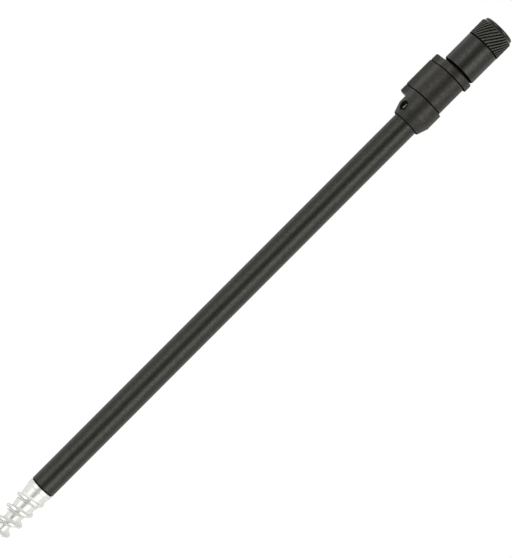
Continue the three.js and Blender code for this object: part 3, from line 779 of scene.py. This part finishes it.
# ------------------------------------------------------------------ head
head = lathe(
    "head_body_turned",
    [(0, 12.2), (6.41, 12.2), (6.41, 0.5, 0.1), (6.9, 0.0), (10.28, 0), (10.94, 0.66, 0.12), (10.94, 20.2, 0.25), (9.2, 20.2), (9.2, 30.4), (8.7, 30.4), (8.7, 31.3), (9.2, 31.3), (9.2, 32.25, 0.25),
     (7.1, 32.25, 0.3), (7.1, 14.0), (0, 14.0)],
    176, False, 12)
for a in (90, 210, 330):
    c, s = math.cos(math.radians(a)), math.sin(math.radians(a))
    boolean(head, rod("cut", 1.6, (6 * c, 6 * s, 25.5), (c, s, 0), 4.4, 32))
boolean(head, rod("cut", 2.0, (5.6 * math.cos(g), 5.6 * math.sin(g), 6.0), (math.cos(g), math.sin(g), 0), 8, 40))
piece(head, "inner_pole_and_head", "head_body", mat_head, z=HEAD_Z)

# ------------------------------------------------------------------ lock ring, spiral knurl
RING_LOW, RING_HIGH, RING_R = 20.65, 32.2, 11.15
KNURL_PHASE = -0.194


def lock_ring(name):
    grooves, per = 32, 16
    n = grooves * per
    th = np.arange(n) * 2 * math.pi / n
    lean = math.tan(math.radians(35.5))  # slope of the grooves from the axis
    depth = 0.72
    rings = []

    def row(r, z):
        r = np.broadcast_to(np.asarray(r, float), th.shape)
        rings.append(np.stack([r * np.cos(th), r * np.sin(th), np.full(n, z)], 1))

    def dip(z):
        # sharp valleys between rounded ridges
        phase = (grooves * (th / (2 * math.pi)) - (z * lean / RING_R) * grooves / (2 * math.pi) + KNURL_PHASE) % 1.0
        return depth * (1 - np.abs(np.cos(math.pi * (phase - 0.5))) ** 0.9)

    row(9.3, RING_LOW)
    for q in range(4):
        a = math.pi / 2 * q / 3
        row(RING_R - 0.15 * (1 - math.sin(a)), RING_LOW + 0.15 * (1 - math.cos(a)))
    for z in np.linspace(RING_LOW + 0.3, RING_HIGH - 0.85, 48):
        run_in = min(1.0, (z - (RING_LOW + 0.3)) / 0.4)
        row(RING_R - dip(z) * run_in, z)
    for q in range(1, 6):
        f = q / 5
        z = RING_HIGH - 0.85 + 0.85 * f
        row(np.minimum(RING_R - 0.85 * f, RING_R - dip(z) * (1 - 0.4 * f)), z)
    row(10.1, RING_HIGH)
    row(10.1, 30.2)
    row(9.3, 30.2)
    return skin(name, rings, loop=True)


ring = lock_ring("lock_ring_knurled")
for a in (90, 210, 330):
    ramp = [(10.24, a + 9)] + [(10.24 - 0.8 * t / 60, a - t) for t in range(0, 61, 5)] + [(9.44, a - 69)]
    pts = [(r * math.cos(math.radians(t)), r * math.sin(math.radians(t))) for r, t in ramp]
    pts += [(8.7 * math.cos(math.radians(t)), 8.7 * math.sin(math.radians(t))) for t in range(a - 69, a + 10, 6)]
    boolean(ring, prism("cut", pts, 23.85, 27.15))
piece(ring, "lock_ring_body", "lock_ring", mat_ring, z=HEAD_Z, angle=50)

# ------------------------------------------------------------------ threaded adaptor


def adaptor(name):
    n = 96
    th = np.arange(n) * 2 * math.pi / n
    outer = fillet([(0, 14.25), (6.4, 14.25), (7.0, 14.85), (7.0, 16.6), (5.75, 16.6), (5.75, 18.3), (7.0, 18.3), (7.0, 23.6), (6.15, 24.3), (6.15, 26.7), (7.0, 27.4), (7.0, 32.35),
                    (9.98, 32.35, 0.12), (9.98, 34.1, 0.8), (5.0, 34.1)], False, 10)
    rings = [np.stack([r * np.cos(th), r * np.sin(th), np.full(n, z)], 1) for r, z in outer[1:]]
    pitch = 1.27
    for z in np.arange(34.08, 20.8, -0.12):
        ph = ((z / pitch) - th / (2 * math.pi)) % 1.0
        tri = np.abs(ph - 0.5) * 2
        r = 4.16 + 0.6 * np.clip(tri * 1.15 - 0.07, 0, 1)
        lead = np.clip((34.08 - z) / 0.7, 0, 1)
        r = np.maximum(r, 4.95 - 0.85 * lead)
        tail = np.clip((z - 20.8) / 0.6, 0, 1)
        r = 4.2 + (r - 4.2) * tail
        rings.append(np.stack([r * np.cos(th), r * np.sin(th), np.full(n, z)], 1))
    rings.append(np.stack([4.2 * np.cos(th), 4.2 * np.sin(th), np.full(n, 20.5)], 1))
    rings.append(np.stack([0.05 * np.cos(th), 0.05 * np.sin(th), np.full(n, 19.35)], 1))
    return skin(name, rings)


piece(adaptor("socket_adaptor_threaded"), "alarm_adaptor", "socket_adaptor", mat_head, z=HEAD_Z)

# ------------------------------------------------------------------ screws, washers, bushes, balls


def hex_socket(across, low, high):
    return prism("cut", [(across / 2 / math.cos(math.radians(30)) * math.cos(math.radians(a)), across / 2 / math.cos(math.radians(30)) * math.sin(math.radians(a))) for a in range(0, 360, 60)], low, high)


pin = lathe("pivot_screw_turned", [(0, 13.6), (1.5, 13.6, 0.25), (1.5, 41.05), (2.0, 41.05, 0.08), (2.0, 42.35, 0.22), (0, 42.35)], 48, False)
boolean(pin, hex_socket(2.0, 41.3, 43))
pin.data.transform(Matrix.Translation((pivot[0], pivot[1], 0)))
piece(pin, "stick_base", "pivot_screw", mat_black_steel, z=COLLAR_Z)

for name, nd, z0 in (("lever_washer_lower_thin", "lever_washer_lower", 17.24), ("lever_washer_upper_thin", "lever_washer_upper", 37.31)):
    wsh = lathe(name, [(1.62, z0, 0.05), (3.1, z0, 0.1), (3.1, z0 + 0.35, 0.1), (1.62, z0 + 0.35, 0.05)], 64, True, 30, centre=pivot)
    piece(wsh, "stick_base", nd, mat_washer, z=COLLAR_Z)

for name, nd, body_name, start, length, z0 in (
    ("collar_grub_screw_hex", "collar_grub_screw", "stick_base", 8.1, 3.1, COLLAR_Z + 9.0),
    ("head_grub_screw_hex", "head_grub_screw", "inner_pole_and_head", 6.6, 3.2, HEAD_Z + 6.0),
):
    # thread crests as fine rings along the screw
    prof = [(0, 0), (1.35, 0), (1.8, 0.45)]
    zz = 0.6
    while zz < length - 0.3:
        prof += [(1.84, zz), (1.62, zz + 0.2), (1.84, zz + 0.4)]
        zz += 0.5
    prof += [(1.84, length - 0.12), (1.7, length), (0, length)]
    gs = lathe(name, prof, 40, False)
    boolean(gs, hex_socket(1.5, length - 1.1, length + 1))
    gs.data.transform(Matrix.Rotation(g, 4, "Z") @ Matrix.Rotation(math.pi / 2, 4, "Y"))
    gs.data.transform(Matrix.Translation((start * math.cos(g), start * math.sin(g), z0)))
    piece(gs, body_name, nd, mat_black_steel)

for i, a in enumerate((90, 210, 330)):
    me_name = f"lock_ball_{i + 1}_steel"
    pts = [(0, -1.5)] + [(1.5 * math.cos(math.radians(t)), 1.5 * math.sin(math.radians(t))) for t in range(-84, 85, 6)] + [(0, 1.5)]
    ball = lathe(me_name, pts, 48, False)
    ball.data.transform(Matrix.Translation((8.6 * math.cos(math.radians(a)), 8.6 * math.sin(math.radians(a)), 25.5)))
    piece(ball, f"ball_{i + 1}", f"lock_ball_{i + 1}", mat_ball, z=HEAD_Z, angle=60)

shoe_pts = arc(0, 0, 6.45, -22, 22, 24) + [(9.2, 2.4), (9.2, -2.4)]
shoe = prism("brake_shoe_milled", shoe_pts, 22.0, 33.0, 0.15, 2)
piece(shoe, "clamp_shoe", "brake_shoe", mat_acetal, z=COLLAR_Z, turn=PIVOT_ANGLE)

for name, nd, lo, hi in (("guide_bush_lower_moulded", "guide_bush_lower", 5.0, 15.0), ("guide_bush_upper_moulded", "guide_bush_upper", 34.2, 41.0)):
    piece(lathe(name, [(6.46, lo, 0.12), (6.91, lo, 0.15), (6.91, hi, 0.15), (6.46, hi, 0.12)], 96, True, 30), "stick_base", nd, mat_nylon, z=COLLAR_Z)
piece(lathe("stop_bush_moulded", [(4.16, 20.2, 0.2), (6.85, 20.2, 0.4), (6.85, 28.2, 0.4), (4.16, 28.2, 0.2)], 96, True, 18), "slide_bush", "stop_bush", mat_nylon)
piece(
    lathe("pole_end_plug_moulded", [(0, 15.3), (5.8, 15.3, 0.6), (5.8, 19.9, 0.2), (4.0, 19.9), (4.0, 28.42), (5.08, 28.42), (5.08, 42, 0.4), (0, 42)], 80, False, 18),
    "inner_pole_and_head", "pole_end_plug", mat_nylon)
piece(lathe("ring_washer_thin", [(9.31, 20.24, 0.05), (9.95, 20.24, 0.08), (9.95, 20.56, 0.08), (9.31, 20.56, 0.05)], 96, True, 30), "inner_pole_and_head", "ring_washer", mat_washer, z=HEAD_Z)

clip = lathe("ring_circlip_sprung", [(8.79, 30.45, 0.06), (9.95, 30.45, 0.1), (9.95, 31.2, 0.1), (8.79, 31.2, 0.06)], 96, True, 30)
boolean(clip, prism("cut", [(-2.2, -12), (2.2, -12), (2.2, 0), (-2.2, 0)], 29, 33))
piece(clip, "inner_pole_and_head", "ring_circlip", mat_spring, z=HEAD_Z)

oring = lathe("adaptor_o_ring_moulded", [(6.42 + 0.57 * math.cos(t), 17.45 + 0.5 * math.sin(t)) for t in np.arange(16) * math.pi / 8], 72, True)
piece(oring, "alarm_adaptor", "adaptor_o_ring", mat_rubber, z=HEAD_Z, angle=60)

# ------------------------------------------------------------------ camera: level, square to the stick, rolled with the picture
PX = 0.584e-3  # metres for a pixel at the stick
B = Vector((math.sqrt(0.5), -math.sqrt(0.5), 0))
XP = Vector((math.sqrt(0.5), math.sqrt(0.5), 0))
ZP = Vector((0, 0, 1))
DIST = 2401.2 * PX
centre = ZP * ((303.14 - 4.6) * PX) + XP * (4.04 * PX)
right = XP * 0.70763 + ZP * 0.70658
up = ZP * 0.70763 - XP * 0.70658
cam_data = bpy.data.cameras.new("camera")
cam = bpy.data.objects.new("camera", cam_data)
bpy.context.scene.collection.objects.link(cam)
cam.matrix_world = Matrix((
    (right.x, up.x, B.x, centre.x + B.x * DIST),
    (right.y, up.y, B.y, centre.y + B.y * DIST),
    (right.z, up.z, B.z, centre.z + B.z * DIST),
    (0, 0, 0, 1)))
cam_data.sensor_width = 36.0
cam_data.lens = 36.0 * 2400 / 558
cam_data.clip_start, cam_data.clip_end = 0.05, 30
bpy.context.scene.camera = cam

# ------------------------------------------------------------------ studio
scene = bpy.context.scene
scene.view_settings.view_transform = "Standard"
scene.view_settings.look = "None"
scene.view_settings.exposure = 0.0
scene.view_settings.gamma = 1.0

world = bpy.data.worlds.new("studio")
scene.world = world
world.use_nodes = True
wt = world.node_tree
wt.nodes.clear()
# what the stick mirrors: a pale room, a tall soft box on either side of the camera and the dim gap between them,
# told by the compass direction, counted from the camera's side; straight up and down it is dimmer
ROUND = [(-180, 0.55), (-150, 0.50), (-137, 0.58), (-125, 0.90), (-112, 0.84), (-100, 0.71), (-86, 0.74), (-72, 0.80), (-62, 1.00), (-52, 1.42), (-44, 1.88), (-36, 1.80), (-28, 1.20),
         (-20, 0.52), (-10, 0.26), (0, 0.20), (9, 0.26), (17, 0.58), (25, 1.45), (33, 2.35), (40, 2.50), (47, 2.10), (56, 1.46), (66, 0.96), (78, 0.74), (92, 0.68), (106, 0.76),
         (120, 0.86), (132, 0.74), (145, 0.50), (180, 0.55)]
# the same further down and up, where the soft boxes have ended
ENDS = [(-180, 1.10), (-150, 1.10), (-135, 1.05), (-120, 0.92), (-100, 0.72), (-80, 0.74), (-62, 0.82), (-50, 0.88), (-40, 0.78), (-30, 0.55), (-18, 0.26), (-8, 0.18), (0, 0.16), (10, 0.22), (20, 0.52),
        (30, 1.00), (40, 1.20), (50, 1.08), (62, 0.88), (78, 0.74), (94, 0.68), (108, 0.76), (120, 0.92), (134, 1.05), (150, 1.10), (180, 1.10)]
BELOW, ABOVE = 0.26, 0.05  # straight down and up
w_out = wt.nodes.new("ShaderNodeOutputWorld")
w_env = wt.nodes.new("ShaderNodeBackground")
w_seen = wt.nodes.new("ShaderNodeBackground")
w_mix = wt.nodes.new("ShaderNodeMixShader")
w_path = wt.nodes.new("ShaderNodeLightPath")
w_seen.inputs["Color"].default_value = (1, 1, 1, 1)
w_seen.inputs["Strength"].default_value = 1.0
w_tc = wt.nodes.new("ShaderNodeTexCoord")


def w_dot(v):
    d = wt.nodes.new("ShaderNodeVectorMath")
    d.operation = "DOT_PRODUCT"
    d.inputs[1].default_value = v
    wt.links.new(w_tc.outputs["Generated"], d.inputs[0])
    return d.outputs["Value"]


w_atan = wt.nodes.new("ShaderNodeMath")
w_atan.operation = "ARCTAN2"
wt.links.new(w_dot(XP), w_atan.inputs[0])
wt.links.new(w_dot(B), w_atan.inputs[1])
w_turn = wt.nodes.new("ShaderNodeMapRange")
w_turn.inputs["From Min"].default_value = -math.pi
w_turn.inputs["From Max"].default_value = math.pi
wt.links.new(w_atan.outputs[0], w_turn.inputs["Value"])


def w_ramp(table):
    ramp = wt.nodes.new("ShaderNodeValToRGB")
    stops = ramp.color_ramp.elements
    stops[0].position, stops[1].position = 0.0, 1.0
    for a, v in table[1:-1]:
        stops.new((a + 180) / 360)
    for e, (a, v) in zip(stops, table):
        e.position = (a + 180) / 360
        e.color = (v / 2.5, v / 2.5, v / 2.5 * 0.965, 1)
    wt.links.new(w_turn.outputs["Result"], ramp.inputs["Fac"])
    return ramp.outputs["Color"]


w_abs = wt.nodes.new("ShaderNodeMath")
w_abs.operation = "ABSOLUTE"
wt.links.new(w_dot((0, 0, 1)), w_abs.inputs[0])


def w_blend(low, high, first, second):
    """From the first colour to the second as the direction steepens."""
    f = wt.nodes.new("ShaderNodeMapRange")
    f.interpolation_type = "SMOOTHSTEP"
    f.inputs["From Min"].default_value = low
    f.inputs["From Max"].default_value = high
    wt.links.new(w_abs.outputs[0], f.inputs["Value"])
    m = wt.nodes.new("ShaderNodeMix")
    m.data_type = "RGBA"
    wt.links.new(f.outputs["Result"], m.inputs["Factor"])
    wt.links.new(first, m.inputs["A"])
    wt.links.new(second, m.inputs["B"])
    return m.outputs["Result"]


w_down = wt.nodes.new("ShaderNodeMapRange")
w_down.inputs["From Min"].default_value = -0.3
w_down.inputs["From Max"].default_value = 0.3
w_down.inputs["To Min"].default_value = BELOW
w_down.inputs["To Max"].default_value = ABOVE
wt.links.new(w_dot((0, 0, 1)), w_down.inputs["Value"])
w_sky = w_blend(0.62, 0.90, w_blend(0.22, 0.55, w_ramp(ROUND), w_ramp(ENDS)), w_down.outputs["Result"])
wt.links.new(w_sky, w_env.inputs["Color"])
w_env.inputs["Strength"].default_value = 2.58
wt.links.new(w_path.outputs["Is Camera Ray"], w_mix.inputs["Fac"])
wt.links.new(w_env.outputs[0], w_mix.inputs[1])
wt.links.new(w_seen.outputs[0], w_mix.inputs[2])
wt.links.new(w_mix.outputs[0], w_out.inputs["Surface"])

# pale floor under the point
floor = make("floor_disc", [(0, 0, 0)] + [(350 * math.cos(math.radians(a)), 350 * math.sin(math.radians(a)), 0) for a in range(0, 360, 4)], [(0, i + 1, (i + 1) % 90 + 1) for i in range(90)])
floor.data.transform(Matrix.Translation((0, 0, -58.3)))
floor.data.transform(Matrix.Scale(0.001, 4))
mf, ntf, bf = base_material("pale_floor")
bf.inputs["Base Color"].default_value = (0.9, 0.9, 0.9, 1)
bf.inputs["Roughness"].default_value = 0.8
bf.inputs["Emission Color"].default_value = (1, 1, 1, 1)
bf.inputs["Emission Strength"].default_value = 0.8
floor.data.materials.append(mf)
floor.visible_glossy = False  # the point isn't near a floor in the photograph, so it mirrors none
